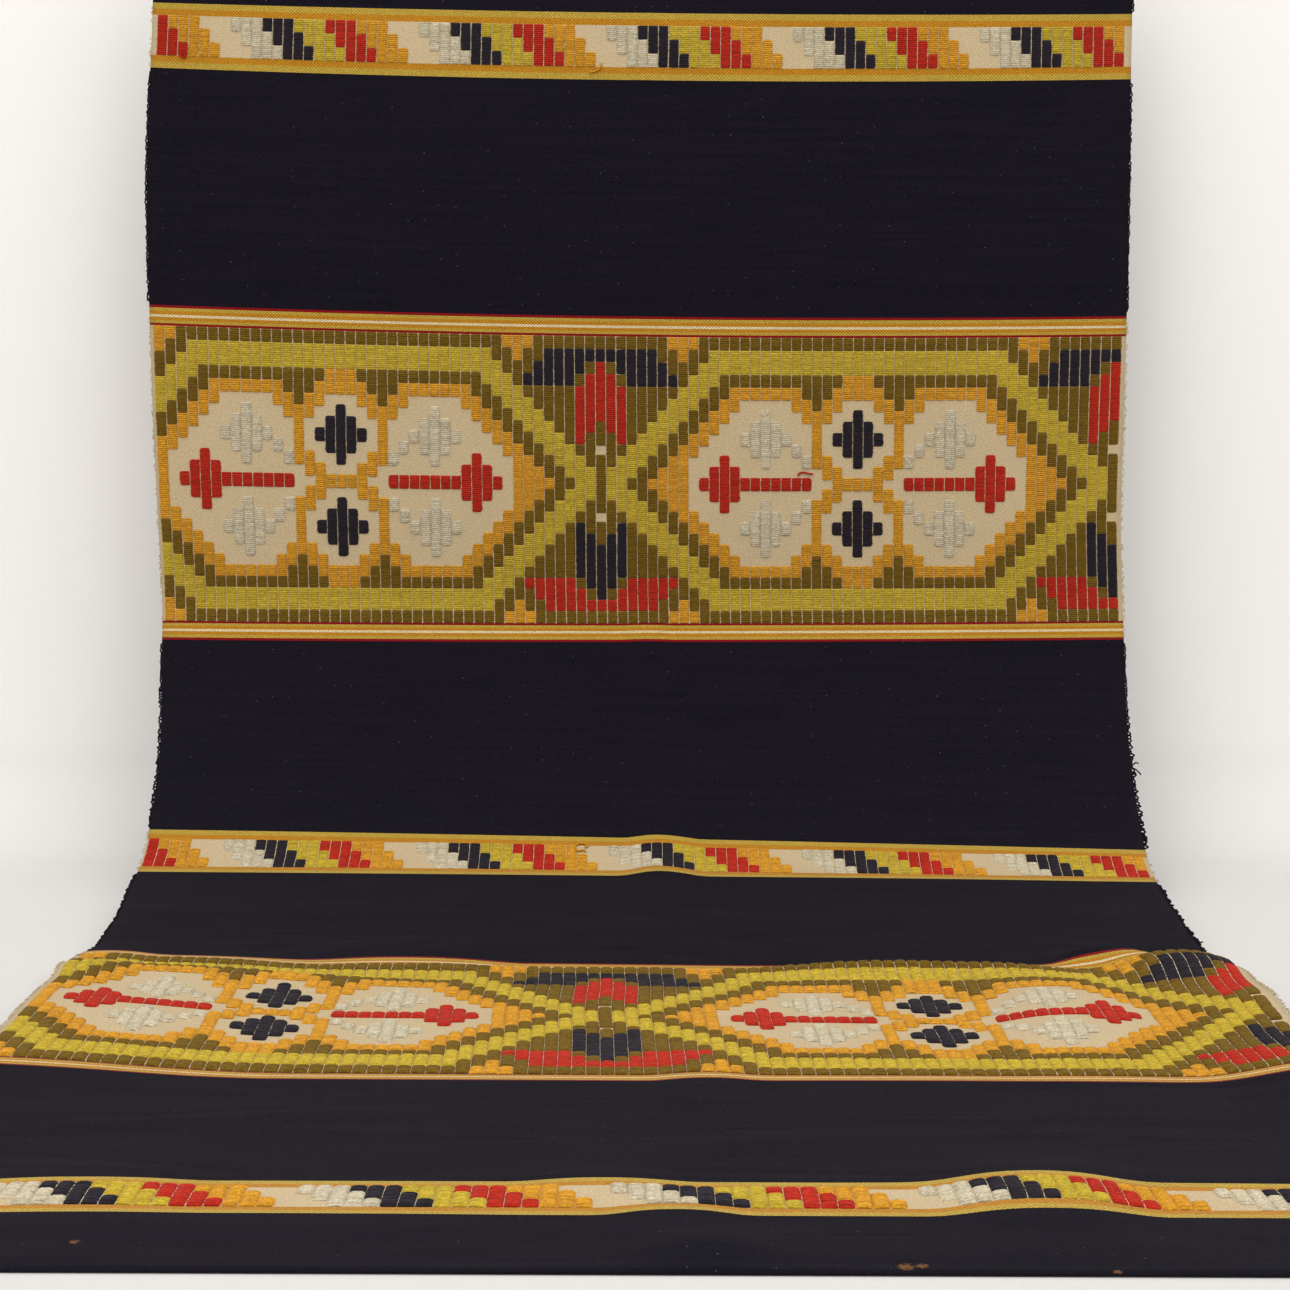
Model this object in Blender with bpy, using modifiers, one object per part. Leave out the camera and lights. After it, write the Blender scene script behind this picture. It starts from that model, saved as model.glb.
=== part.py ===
"""A woven curtain: one length of laid-in cloth that hangs down, sweeps forward and lies on the floor.

Frame: metres, +Z up, the front of the cloth faces -Y.
The origin is the middle of the top edge, on the back of the cloth.
The cloth is described by u (0 at the left selvedge, 1 at the right) and w (metres along the cloth
from its top edge), and drape() gives the point in space for every (u, w).
"""
import bpy
import bmesh
import math
from mathutils import Vector

# Lengths along the cloth, from the top edge to the hem.
END_TOP = 0.095
NARROW_TOP = 0.0683
NAVY_1 = 0.243
WIDE_TOP = 0.3416
NAVY_2 = 0.243
NARROW_MID = 0.072
NAVY_3 = 0.2414
WIDE_LOW = 0.354
NAVY_4 = 0.229
NARROW_LOW = 0.062
END_LOW = 0.094

# Lengths on both sides of the roll at the low band's upper border, where the mesh steps are shorter.
ROLL_BEHIND = 0.040
ROLL_FRONT = 0.096

# Thickness of the plain ground and of the bands, which carry an extra laid-in yarn.
GROUND_THICK = 0.0020
BAND_THICK = 0.0030

# Each stretch of cloth: length, number of mesh steps, whether it is a band.
STRETCHES = (
    (END_TOP, 2, False),
    (NARROW_TOP, 2, True),
    (NAVY_1, 3, False),
    (WIDE_TOP, 4, True),
    (NAVY_2, 8, False),
    (NARROW_MID, 4, True),
    (NAVY_3 - ROLL_BEHIND, 6, False),
    (ROLL_BEHIND, 5, False),
    (ROLL_FRONT, 15, True),
    (WIDE_LOW - ROLL_FRONT, 11, True),
    (NAVY_4, 7, False),
    (NARROW_LOW, 4, True),
    (END_LOW, 5, False),
)
LENGTH = sum(row[0] for row in STRETCHES)

# Angle of the cloth below the horizontal, in degrees, along its length.
HEADING = ((0.0, 90), (0.66, 90), (0.76, 60.7), (0.86, 51.5), (0.94, 41.3), (1.0, 30.1), (1.06, 10.4),
           (1.13, 6.1), (1.20, 6.8), (1.28, 8.6), (1.36, 0), (2.3, 0))
HEADING_STEP = 0.005

# How far the right selvedge runs ahead of the left one, along the cloth.
SLOPE = ((0.0, 0.0), (0.10, 0.012), (0.40, 0.012), (0.75, 0.0), (0.99, 0.031), (1.06, 0.028), (1.29, 0.032),
         (1.42, 0.050), (1.52, 0.040), (1.65, 0.020), (1.88, 0.012), (2.10, 0.011))

# The two selvedges: across position along the cloth, drawn in a little at the plain stretches.
LEFT = ((0.0, -0.503), (0.10, -0.508), (0.30, -0.518), (0.45, -0.517), (0.74, -0.508), (0.88, -0.498),
        (1.0, -0.4945), (1.10, -0.492), (1.20, -0.484), (1.28, -0.4835), (1.34, -0.4945), (1.40, -0.494),
        (1.46, -0.4935), (1.54, -0.491), (1.75, -0.4915), (2.10, -0.492))
RIGHT = ((0.0, 0.503), (0.10, 0.5025), (0.40, 0.503), (0.60, 0.501), (0.72, 0.504), (0.84, 0.498), (1.0, 0.494),
         (1.15, 0.489), (1.23, 0.490), (1.30, 0.4975), (1.36, 0.5045), (1.45, 0.502), (1.60, 0.5005), (2.10, 0.500))

# Folds: name, centre u, centre w, half width in u, half length in w, height.
FOLDS = (
    ("middle_ridge_hanging", 0.505, 0.55, 0.022, 0.50, 0.003),
    ("middle_ridge_bend", 0.520, 1.03, 0.028, 0.12, 0.005),
    ("left_rise", 0.289, 1.2925, 0.074, 0.039, 0.0058),
    ("left_corner", 0.013, 1.322, 0.0415, 0.097, 0.0047),
    ("border_roll_left", 0.090, 1.324, 0.096, 0.0215, 0.0067),
    ("border_roll_middle", 0.427, 1.3305, 0.2045, 0.0108, 0.0031),
    ("border_roll_right", 0.725, 1.332, 0.112, 0.0108, 0.0102),
    ("right_hump_back", 0.896, 1.2945, 0.036, 0.0215, 0.0142),
    ("right_hump_front", 0.952, 1.3365, 0.052, 0.040, 0.0219),
    ("medallion_ridge", 0.838, 1.449, 0.056, 0.113, 0.0112),
    ("left_hill", -0.025, 1.472, 0.1775, 0.098, 0.0124),
    ("left_ridge", 0.062, 1.378, 0.168, 0.0304, 0.0090),
    ("roll_right_front", 0.710, 1.360, 0.125, 0.030, 0.0052),
    ("right_plateau", 1.040, 1.438, 0.120, 0.080, 0.0177),
    ("left_low", -0.079, 1.621, 0.204, 0.105, 0.0134),
    ("low_ridge", 0.540, 1.641, 0.030, 0.137, 0.0025),
    ("right_low", 1.027, 1.626, 0.088, 0.115, 0.0169),
    ("hem_band_left", 0.145, 1.895, 0.06, 0.05, 0.003),
    ("hem_band_middle", 0.470, 1.880, 0.045, 0.035, 0.0035),
    ("hem_band_middle_low", 0.515, 1.950, 0.035, 0.030, 0.0045),
    ("hem_band_right", 0.742, 1.910, 0.052, 0.065, 0.009),
    ("hem_ridge", 0.530, 2.005, 0.034, 0.022, 0.007),
)
WAVE_HEIGHT = 0.0012
WAVE_REACH = ((0.95, 0.0), (1.12, 1.0), (2.0, 0.9), (2.1, 0.7))
FLOOR_CUT = 0.0005

ACROSS = 40
RIDGE_U = 0.52
RIDGE_DENSITY = 0.055


def curve(knots, x):
    """A smooth line through the knots that never overshoots them."""
    if x <= knots[0][0]:
        return knots[0][1]
    if x >= knots[-1][0]:
        return knots[-1][1]
    i = 0
    while x > knots[i + 1][0]:
        i += 1

    def grade(j):
        if j == 0 or j == len(knots) - 1:
            return 0.0
        a = (knots[j][1] - knots[j - 1][1]) / (knots[j][0] - knots[j - 1][0])
        b = (knots[j + 1][1] - knots[j][1]) / (knots[j + 1][0] - knots[j][0])
        return 0.0 if a * b <= 0 else 2 * a * b / (a + b)

    x0, y0 = knots[i]
    x1, y1 = knots[i + 1]
    d = x1 - x0
    t = (x - x0) / d
    rise = (2 * t ** 3 - 3 * t * t + 1) * y0 + (3 * t * t - 2 * t ** 3) * y1
    return rise + (t ** 3 - 2 * t * t + t) * d * grade(i) + (t ** 3 - t * t) * d * grade(i + 1)


def side_line():
    """The cloth's path seen from the side, stepped along its length."""
    points = [(0.0, 0.0)]
    for k in range(int((LENGTH + 0.1) / HEADING_STEP) + 1):
        a = math.radians(curve(HEADING, (k + 0.5) * HEADING_STEP))
        y, z = points[-1]
        points.append((y - math.cos(a) * HEADING_STEP, z - math.sin(a) * HEADING_STEP))
    return points


SIDE = side_line()


def on_side_line(w):
    """Depth, height and heading at w along the side line."""
    if w <= 0.0:
        return 0.0, -w, math.radians(90)
    k = min(int(w / HEADING_STEP), len(SIDE) - 2)
    t = w / HEADING_STEP - k
    a = SIDE[k]
    b = SIDE[k + 1]
    return a[0] + (b[0] - a[0]) * t, a[1] + (b[1] - a[1]) * t, math.radians(curve(HEADING, w))


def lift(u, w):
    """Height of the folds and soft waves above the side line, never below it."""
    total = 0.0
    for _name, fold_u, fold_w, half_u, half_w, height in FOLDS:
        a = ((u - fold_u) / half_u) ** 2
        b = ((w - fold_w) / half_w) ** 2
        reach = a * (0.5 + 0.5 * a) + b
        if reach < 9.0:
            total += height * math.exp(-reach)
    turn = 2 * math.pi
    wave = math.sin(turn * (w / 0.115 + 0.55 * u)) * math.sin(turn * (0.8 * u + 0.1))
    wave += 0.6 * math.sin(turn * (w / 0.19 - 0.9 * u) + 1.0)
    total += curve(WAVE_REACH, w) * WAVE_HEIGHT * max(0.0, wave)
    return max(0.0, total - FLOOR_CUT) * curve(((0.0, 0.0), (0.12, 1.0), (9.0, 1.0)), w)


def drape(u, w, out=0.0):
    """Point of the cloth at (u, w), out metres in front of its back face."""
    y, z, a = on_side_line(w + curve(SLOPE, w) * (u - 0.5))
    n = lift(u, w) + out
    left = curve(LEFT, w)
    right = curve(RIGHT, w)
    return Vector((left + (right - left) * u, y - math.sin(a) * n, z + math.cos(a) * n))


def across_stations():
    """Mesh steps across the cloth, closer together over the middle ridge."""
    stations = []
    for i in range(ACROSS + 1):
        s = i / ACROSS
        pull = math.sin(2 * math.pi * (s - RIDGE_U)) * RIDGE_DENSITY
        stations.append((s, pull))
    first = stations[0][1]
    last = stations[-1][1]
    return [s - p + first + (last - first) * s for s, p in stations]


def along_stations():
    """Mesh steps along the cloth with the thickness at each of them."""
    stations = []
    w = 0.0
    for length, steps, band in STRETCHES:
        thick = BAND_THICK if band else GROUND_THICK
        for k in range(steps):
            here = thick
            if k == 0 and stations:
                here = 0.5 * (thick + stations[-1][1])
            stations.append((w + length * k / steps, here))
        w += length
    stations.append((LENGTH, GROUND_THICK))
    return stations


def build_cloth(name, material, collection):
    """A grid laid along the drape, thickened towards the front, more so at the bands."""
    us = across_stations()
    ws = along_stations()
    rows = len(ws) - 1
    bm = bmesh.new()
    bmesh.ops.create_grid(bm, x_segments=ACROSS, y_segments=rows, size=0.5)
    bm.verts.ensure_lookup_table()
    weights = []
    for vert in bm.verts:
        i = round((vert.co.x + 0.5) * ACROSS)
        j = round((0.5 - vert.co.y) * rows)
        w, thick = ws[j]
        vert.co = drape(us[i], w)
        weights.append((thick - GROUND_THICK) / (BAND_THICK - GROUND_THICK))
    mesh = bpy.data.meshes.new(name)
    bm.to_mesh(mesh)
    bm.free()
    obj = bpy.data.objects.new(name, mesh)
    obj.data.materials.append(material)
    collection.objects.link(obj)
    yarn = obj.vertex_groups.new(name="laid_in_yarn")
    for index, weight in enumerate(weights):
        yarn.add([index], weight, "REPLACE")
    solid = obj.modifiers.new("thickness", "SOLIDIFY")
    solid.thickness = BAND_THICK
    solid.offset = 1.0
    solid.vertex_group = yarn.name
    solid.thickness_vertex_group = GROUND_THICK / BAND_THICK
    solid.use_even_offset = True
    return obj


def cloth_material(name, colour, rough):
    """A plain wool look for the solid."""
    mat = bpy.data.materials.new(name)
    mat.use_nodes = True
    shader = mat.node_tree.nodes["Principled BSDF"]
    shader.inputs["Base Color"].default_value = (*colour, 1.0)
    shader.inputs["Roughness"].default_value = rough
    return mat


def main():
    for obj in list(bpy.data.objects):
        bpy.data.objects.remove(obj, do_unlink=True)
    collection = bpy.data.collections.new("woven_curtain")
    bpy.context.scene.collection.children.link(collection)
    wool = cloth_material("navy_wool", (0.012, 0.011, 0.016), 0.95)
    build_cloth("curtain_cloth", wool, collection)


main()
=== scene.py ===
"""Dresses the woven curtain: ground cloth, laid-in bands, selvedges, loose ends and the studio around it.

The cloth is described by u (0 at the left selvedge, 1 at the right) and w (metres along the cloth
from its top edge). drape() gives the point in space for every (u, w), as in the part's own source.
"""
import math
import random

import bmesh
import bpy
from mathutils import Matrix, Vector


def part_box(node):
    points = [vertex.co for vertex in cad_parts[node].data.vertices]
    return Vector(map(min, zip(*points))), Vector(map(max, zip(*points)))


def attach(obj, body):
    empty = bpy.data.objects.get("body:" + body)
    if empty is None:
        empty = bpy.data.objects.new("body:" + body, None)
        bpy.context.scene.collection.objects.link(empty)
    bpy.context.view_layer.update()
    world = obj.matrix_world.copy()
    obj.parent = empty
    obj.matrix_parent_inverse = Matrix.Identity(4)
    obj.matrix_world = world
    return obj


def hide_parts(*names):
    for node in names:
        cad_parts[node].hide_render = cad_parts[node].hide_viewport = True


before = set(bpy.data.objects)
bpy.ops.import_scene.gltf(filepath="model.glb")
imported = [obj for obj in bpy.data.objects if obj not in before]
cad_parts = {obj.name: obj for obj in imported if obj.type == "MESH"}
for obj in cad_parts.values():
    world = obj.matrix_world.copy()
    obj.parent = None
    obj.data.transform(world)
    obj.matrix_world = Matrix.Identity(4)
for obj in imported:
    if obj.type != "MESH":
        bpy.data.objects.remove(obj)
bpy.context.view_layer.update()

NODE_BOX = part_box("curtain_cloth")

bl_info = {
    "name": "Woven curtain",
    "version": (1, 0, 0),
    "blender": (4, 5, 0),
    "location": "3D View > Sidebar > Curtain",
    "description": "Builds a draped, laid-in woven curtain with its yarns, selvedges and studio",
    "category": "Add Mesh",
}

# ---- the drape, in metres, with the same values as the part's source ----

STRETCHES = (
    ("end_top", 0.095),
    ("narrow_top", 0.0683),
    ("navy_1", 0.243),
    ("wide_top", 0.3416),
    ("navy_2", 0.243),
    ("narrow_mid", 0.072),
    ("navy_3", 0.2414),
    ("wide_low", 0.354),
    ("navy_4", 0.229),
    ("narrow_low", 0.062),
    ("end_low", 0.094),
)
LENGTH = sum(row[1] for row in STRETCHES)

HEADING = ((0.0, 90), (0.66, 90), (0.76, 60.7), (0.86, 51.5), (0.94, 41.3), (1.0, 30.1), (1.06, 10.4),
           (1.13, 6.1), (1.20, 6.8), (1.28, 8.6), (1.36, 0), (2.3, 0))
HEADING_STEP = 0.005
SLOPE = ((0.0, 0.0), (0.10, 0.012), (0.40, 0.012), (0.75, 0.0), (0.99, 0.031), (1.06, 0.028), (1.29, 0.032),
         (1.42, 0.050), (1.52, 0.040), (1.65, 0.020), (1.88, 0.012), (2.10, 0.011))
LEFT = ((0.0, -0.503), (0.10, -0.508), (0.30, -0.518), (0.45, -0.517), (0.74, -0.508), (0.88, -0.498),
        (1.0, -0.4945), (1.10, -0.492), (1.20, -0.484), (1.28, -0.4835), (1.34, -0.4945), (1.40, -0.494),
        (1.46, -0.4935), (1.54, -0.491), (1.75, -0.4915), (2.10, -0.492))
RIGHT = ((0.0, 0.503), (0.10, 0.5025), (0.40, 0.503), (0.60, 0.501), (0.72, 0.504), (0.84, 0.498), (1.0, 0.494),
         (1.15, 0.489), (1.23, 0.490), (1.30, 0.4975), (1.36, 0.5045), (1.45, 0.502), (1.60, 0.5005), (2.10, 0.500))
# Folds: name, centre u, centre w, half width in u, half length in w, height.
FOLDS = (
    ("middle_ridge_hanging", 0.505, 0.55, 0.022, 0.50, 0.003),
    ("middle_ridge_bend", 0.520, 1.03, 0.028, 0.12, 0.005),
    ("left_rise", 0.289, 1.2925, 0.074, 0.039, 0.0058),
    ("left_corner", 0.013, 1.322, 0.0415, 0.097, 0.0047),
    ("border_roll_left", 0.090, 1.324, 0.096, 0.0215, 0.0067),
    ("border_roll_middle", 0.427, 1.3305, 0.2045, 0.0108, 0.0031),
    ("border_roll_right", 0.725, 1.332, 0.112, 0.0108, 0.0102),
    ("right_hump_back", 0.896, 1.2945, 0.036, 0.0215, 0.0142),
    ("right_hump_front", 0.952, 1.3365, 0.052, 0.040, 0.0219),
    ("medallion_ridge", 0.838, 1.449, 0.056, 0.113, 0.0112),
    ("left_hill", -0.025, 1.472, 0.1775, 0.098, 0.0124),
    ("left_ridge", 0.062, 1.378, 0.168, 0.0304, 0.0090),
    ("roll_right_front", 0.710, 1.360, 0.125, 0.030, 0.0052),
    ("right_plateau", 1.040, 1.438, 0.120, 0.080, 0.0177),
    ("left_low", -0.079, 1.621, 0.204, 0.105, 0.0134),
    ("low_ridge", 0.540, 1.641, 0.030, 0.137, 0.0025),
    ("right_low", 1.027, 1.626, 0.088, 0.115, 0.0169),
    ("hem_band_left", 0.145, 1.895, 0.06, 0.05, 0.003),
    ("hem_band_middle", 0.470, 1.880, 0.045, 0.035, 0.0035),
    ("hem_band_middle_low", 0.515, 1.950, 0.035, 0.030, 0.0045),
    ("hem_band_right", 0.742, 1.910, 0.052, 0.065, 0.009),
    ("hem_ridge", 0.530, 2.005, 0.034, 0.022, 0.007),
)
WAVE_HEIGHT = 0.0012
WAVE_REACH = ((0.95, 0.0), (1.12, 1.0), (2.0, 0.9), (2.1, 0.7))
FLOOR_CUT = 0.0005

# ---- how the woven rows and columns wander over that shape, in millimetres along the cloth ----

# The columns bow towards the right between the two selvedges. A lean over 1 moves the peak to the right.
COLUMN_BOW = ((0.0, 0), (0.15, 2.5), (0.44, 5), (0.58, 4.5), (0.71, 1.5), (1.03, 3), (1.34, 7), (1.42, 7),
              (1.56, 10), (1.65, 12), (1.80, 8), (1.92, 17), (1.96, 17), (2.3, 0))
COLUMN_LEAN = ((0.0, 1.0), (0.44, 0.6), (0.60, 1.0), (1.03, 1.0), (1.34, 0.6), (1.42, 1.1), (1.80, 1.0), (1.92, 1.7),
               (2.3, 1.7))
# The rows slide along the cloth in the middle, and arch so that the selvedges slide by another amount.
ROW_SLIDE = ((0.0, 0), (0.42, -1), (0.58, 3), (0.65, 4), (0.72, 1), (1.03, 0), (1.40, 0), (1.56, -6), (1.65, 0),
             (1.92, -2), (2.0, 0), (2.3, 0))
ROW_ARCH = ((0.0, 0), (0.10, -5), (0.15, -7), (0.51, -6), (0.65, -2), (0.72, -3), (1.03, 3), (1.20, 0), (1.40, 0),
            (1.56, 6), (1.65, 0), (1.92, 2), (2.0, 0), (2.3, 0))

# ---- the weave ----

CLOTH_WIDTH = 1.016
COLUMNS = 93
# Bare strips beside the first and last column, as shares of the width; the low band has wider ones.
STRIPS = {"wide_low": (0.0050, 0.0080), "wide_top": (0.0030, 0.0045), "narrow_mid": (0.0020, 0.0045),
          "narrow_low": (0.0100, 0.0130)}
PLAIN_STRIPS = (0.0055, 0.0075)

# The charted repeat, one word per column from the band's edge to its middle row.
# O olive, C chartreuse, Y orange, N navy, R red, B light blue, . bare ground.
MEDALLION = (
    "YYOOCCCOOYYYY", "YOOCCCOOYY...", "OOCCCOOYY...R", "OCCCOOYY...RR", "OCCOOYY...RRR", "OCCOYY.....RR",
    "OCCOY...B...R", "OCCOY..BBB..R", "OCCOY.BBBBB.R", "OCCOY..BBB..R", "OCCOY...B...R", "OCCOYY...B..R",
    "OCCOOYY...B.R", "OCCOOOYYYYY..", "OCCOOYY...YY.", "OCCOYY..N..YY", "OCCYY..NNN..Y", "OCCYY.NNNNN.Y",
)
HOURGLASS = (
    "YOONOCCCOOYYY", "OONNOOCCCOOYY", "ONNNOOOCCCOOY", "ONNNOOOOCCCOO",
    "ONNNOOOOOCCCO", "ONNORRRRROCCC", "ONORRRRROOOCC", "ONRRRRROO.OOO",
)
WIDE_ROWS = 25
STEP_ORDER = "RY.BNC"
NARROW_ROWS = 3

YARNS = {
    "O": "olive",
    "C": "chartreuse",
    "Y": "orange",
    "N": "navy_inlay",
    "R": "red",
    "B": "light_blue",
}

# Woven stripes at the edge of a wide band, from outside in: yarn and width in metres.
WIDE_EDGE = (("dark_red", 0.0027), ("mustard", 0.0033), ("orange_stripe", 0.0037), ("cream", 0.0026),
             ("orange_stripe", 0.0034), ("mustard", 0.0029), ("dark_red", 0.0024))
NARROW_EDGE = (("mustard", 0.0064), ("orange_stripe", 0.0065))
# The lower border of the low wide band is beaten in tighter.
LOW_EDGE = {"wide_low": 0.75}


def yarn_colour(label, use, linear):
    """A colour setting with its default in linear values."""
    return bpy.props.FloatVectorProperty(name=label, description=use, subtype="COLOR", size=3, default=linear,
                                         min=0.0, max=1.0)


def yarn_size(label, use, size, low, high):
    """A length setting in metres with its limits."""
    return bpy.props.FloatProperty(name=label, description=use, unit="LENGTH", default=size, min=low, max=high)


class CurtainYarns(bpy.types.PropertyGroup):
    """Colours of the dyed yarns."""

    navy: yarn_colour("Navy ground", "Wool of the plain ground", (0.0083, 0.0068, 0.0126))
    olive: yarn_colour("Olive", "Laid-in olive wool", (0.154, 0.088, 0.0075))
    chartreuse: yarn_colour("Chartreuse", "Laid-in yellow-green wool", (0.495, 0.355, 0.031))
    orange: yarn_colour("Orange", "Laid-in orange wool", (0.590, 0.274, 0.020))
    red: yarn_colour("Red", "Laid-in red wool", (0.43, 0.0215, 0.0092))
    navy_inlay: yarn_colour("Navy inlay", "Laid-in navy wool", (0.019, 0.0152, 0.0215))
    light_blue: yarn_colour("Light blue", "Laid-in grey-blue wool", (0.525, 0.460, 0.328))
    mustard: yarn_colour("Mustard", "Woven border stripe", (0.45, 0.300, 0.044))
    orange_stripe: yarn_colour("Orange stripe", "Woven border stripe", (0.46, 0.203, 0.013))
    cream: yarn_colour("Cream", "Woven border line", (0.66, 0.55, 0.33))
    dark_red: yarn_colour("Dark red", "Woven border line", (0.22, 0.004, 0.007))
    bare: yarn_colour("Bare ground", "Undyed ground behind the inlay", (0.505, 0.397, 0.242))
    warp: yarn_colour("Warp threads", "Pale threads that tie the laid-in wool down", (0.80, 0.70, 0.50))


class CurtainSizes(bpy.types.PropertyGroup):
    """Sizes of the cloth and its yarns."""

    ground_thick: yarn_size("Ground thickness", "Thickness of the plain cloth", 0.0018, 0.0005, 0.004)
    float_rise: yarn_size("Float rise", "How far the laid-in wool stands above the ground",
                          0.0020, 0.0003, 0.004)
    pick_pitch: yarn_size("Pick pitch", "Distance between two laid-in wool picks", 0.00205, 0.001, 0.006)
    tuft_length: yarn_size("Selvedge tuft", "Length of the yarn loops that stand out of the selvedge",
                           0.0035, 0.001, 0.02)


class CurtainStudio(bpy.types.PropertyGroup):
    """Camera and light of the studio."""

    eye_height: bpy.props.FloatProperty(
        name="Camera height", description="Height of the camera above the floor", unit="LENGTH",
        default=0.4865, min=0.1, max=3.0)
    eye_distance: bpy.props.FloatProperty(
        name="Camera distance", description="Distance from the camera to the hanging cloth", unit="LENGTH",
        default=2.5295, min=0.5, max=10.0)
    eye_tilt: bpy.props.FloatProperty(
        name="Camera tilt", description="How far the camera looks down", subtype="ANGLE",
        default=math.atan(238.0 / 2400.0), min=-0.5, max=1.5)
    lens: bpy.props.FloatProperty(
        name="Lens", description="Focal length on a 36 mm wide frame, in millimetres",
        default=36.0 * 2400.0 / 1290.0, min=10.0, max=300.0)


# ---- the drape ----

def curve(knots, x):
    """A smooth line through the knots that never overshoots them."""
    if x <= knots[0][0]:
        return knots[0][1]
    if x >= knots[-1][0]:
        return knots[-1][1]
    i = 0
    while x > knots[i + 1][0]:
        i += 1

    def grade(j):
        if j == 0 or j == len(knots) - 1:
            return 0.0
        a = (knots[j][1] - knots[j - 1][1]) / (knots[j][0] - knots[j - 1][0])
        b = (knots[j + 1][1] - knots[j][1]) / (knots[j + 1][0] - knots[j][0])
        return 0.0 if a * b <= 0 else 2 * a * b / (a + b)

    x0, y0 = knots[i]
    x1, y1 = knots[i + 1]
    d = x1 - x0
    t = (x - x0) / d
    rise = (2 * t ** 3 - 3 * t * t + 1) * y0 + (3 * t * t - 2 * t ** 3) * y1
    return rise + (t ** 3 - 2 * t * t + t) * d * grade(i) + (t ** 3 - t * t) * d * grade(i + 1)


def side_line():
    """The cloth's path seen from the side, stepped along its length."""
    points = [(0.0, 0.0)]
    for k in range(int((LENGTH + 0.1) / HEADING_STEP) + 1):
        a = math.radians(curve(HEADING, (k + 0.5) * HEADING_STEP))
        y, z = points[-1]
        points.append((y - math.cos(a) * HEADING_STEP, z - math.sin(a) * HEADING_STEP))
    return points


SIDE = side_line()
FLOOR = SIDE[-1][1]
TABLE_STEP = 0.001


def sampled(knots):
    """The curve read once a millimetre, for quick reading later."""
    return [curve(knots, k * TABLE_STEP) for k in range(2300)]


def read(table, w):
    """Value of a sampled curve at w."""
    s = min(max(w / TABLE_STEP, 0.0), 2298.0)
    k = int(s)
    return table[k] + (table[k + 1] - table[k]) * (s - k)


LEFT_AT = sampled(LEFT)
RIGHT_AT = sampled(RIGHT)
SLOPE_AT = sampled(SLOPE)
HEADING_AT = sampled(HEADING)
REACH_AT = sampled(WAVE_REACH)
START_AT = sampled(((0.0, 0.0), (0.12, 1.0), (9.0, 1.0)))


def on_side_line(w):
    """Depth, height and heading at w along the side line."""
    if w <= 0.0:
        return 0.0, -w, math.radians(90)
    k = min(int(w / HEADING_STEP), len(SIDE) - 2)
    t = w / HEADING_STEP - k
    a = SIDE[k]
    b = SIDE[k + 1]
    return a[0] + (b[0] - a[0]) * t, a[1] + (b[1] - a[1]) * t, math.radians(read(HEADING_AT, w))


def lift(u, w):
    """Height of the folds and soft waves above the side line, never below it."""
    total = 0.0
    for _name, fold_u, fold_w, half_u, half_w, height in FOLDS:
        b = ((w - fold_w) / half_w) ** 2
        if b < 9.0:
            a = ((u - fold_u) / half_u) ** 2
            reach = a * (0.5 + 0.5 * a) + b
            if reach < 9.0:
                total += height * math.exp(-reach)
    turn = 2 * math.pi
    wave = math.sin(turn * (w / 0.115 + 0.55 * u)) * math.sin(turn * (0.8 * u + 0.1))
    wave += 0.6 * math.sin(turn * (w / 0.19 - 0.9 * u) + 1.0)
    total += read(REACH_AT, w) * WAVE_HEIGHT * max(0.0, wave)
    return max(0.0, total - FLOOR_CUT) * read(START_AT, w)


def drape(u, w, out=0.0):
    """Point of the cloth at (u, w), out metres in front of its back face."""
    y, z, a = on_side_line(w + read(SLOPE_AT, w) * (u - 0.5))
    n = lift(u, w) + out
    left = read(LEFT_AT, w)
    right = read(RIGHT_AT, w)
    return Vector((left + (right - left) * u, y - math.sin(a) * n, z + math.cos(a) * n))


BOW_AT = sampled(COLUMN_BOW)
LEAN_AT = sampled(COLUMN_LEAN)
SLIDE_AT = sampled(ROW_SLIDE)
ARCH_AT = sampled(ROW_ARCH)


def column_shift(u, w):
    """How far a column has moved to the right, in metres; none at the selvedges."""
    place = min(max(u, 0.0), 1.0)
    return read(BOW_AT, w) / 1000.0 * math.sin(math.pi * place ** read(LEAN_AT, w))


def row_shift(u, w):
    """How far a row has moved down the cloth, in metres."""
    return (read(SLIDE_AT, w) + read(ARCH_AT, w) * (2.0 * u - 1.0) ** 2) / 1000.0


def woven(u, w, out=0.0):
    """Point of the weave at column place u and row place w, once both have wandered."""
    return drape(u + column_shift(u, w) / CLOTH_WIDTH, w + row_shift(u, w), out)


def start_of(stretch):
    """Distance along the cloth at which a stretch begins."""
    w = 0.0
    for name, length in STRETCHES:
        if name == stretch:
            return w
        w += length
    raise ValueError(stretch)


def length_of(stretch):
    """Length of a stretch of cloth."""
    return dict(STRETCHES)[stretch]


# ---- the charts ----

def wide_yarn(column, row):
    """Yarn letter at a column (1 to 93) and row (0 to 24) of a wide band."""
    place = (column - 1) % 50
    lower = row > 12
    depth = WIDE_ROWS - 1 - row if lower else row
    if place < 35:
        word = MEDALLION[min(place, 34 - place)]
        return word[depth]
    place -= 35
    letter = HOURGLASS[min(place, 14 - place)][depth]
    if lower and letter in "NR":
        letter = "R" if letter == "N" else "N"
    return letter


def narrow_yarn(column, row):
    """Yarn letter at a column (1 to 93) and row (0 to 2) of a narrow band."""
    return STEP_ORDER[((column + 1 - row) // 3) % 6]


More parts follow.
